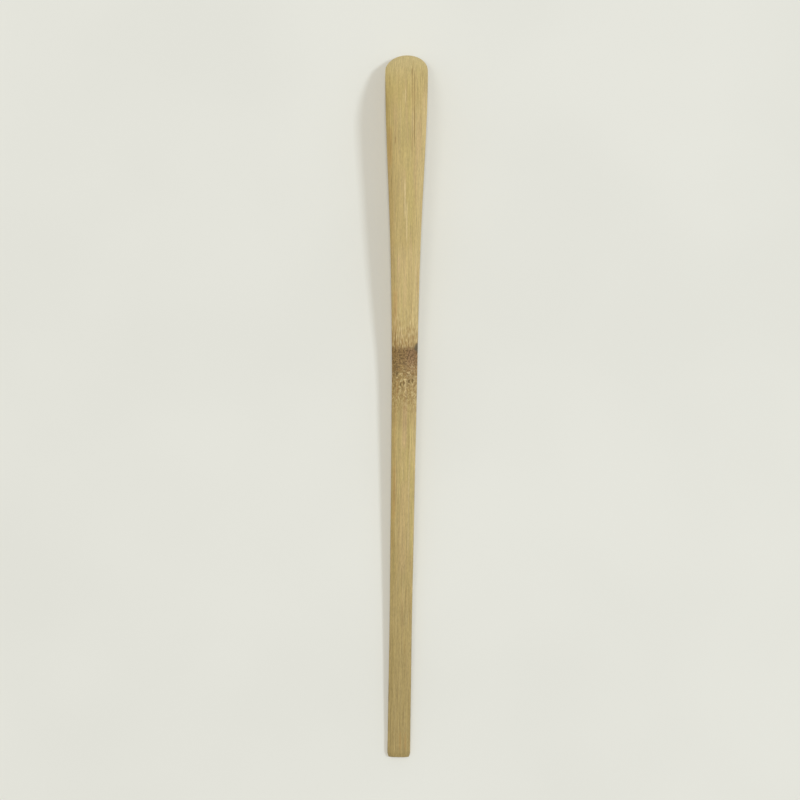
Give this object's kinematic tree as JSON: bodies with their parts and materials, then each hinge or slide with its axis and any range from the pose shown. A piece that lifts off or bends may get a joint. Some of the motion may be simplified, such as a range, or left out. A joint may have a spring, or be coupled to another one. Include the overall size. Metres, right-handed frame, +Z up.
{
  "type": "tea scoop",
  "caption": "Slender bamboo tea scoop with a rounded, bent head, a node at mid-length and a tapering handle, for lifting powdered tea from a caddy.",
  "frame": {"origin": "on the table under the centre of the bounding box, with the scoop lying face down on its tip and tail", "axes": "+Y along the handle from the tail to the scoop tip, +Z up from the table to the shaved back, +X to the right"},
  "size_m": [0.011, 0.1798, 0.0113],
  "materials": {
    "bamboo": "bare bamboo, knife-shaved and lightly polished"
  },
  "bodies": {
    "root": {"bamboo_scoop": "bamboo"}
  },
  "joints": []
}
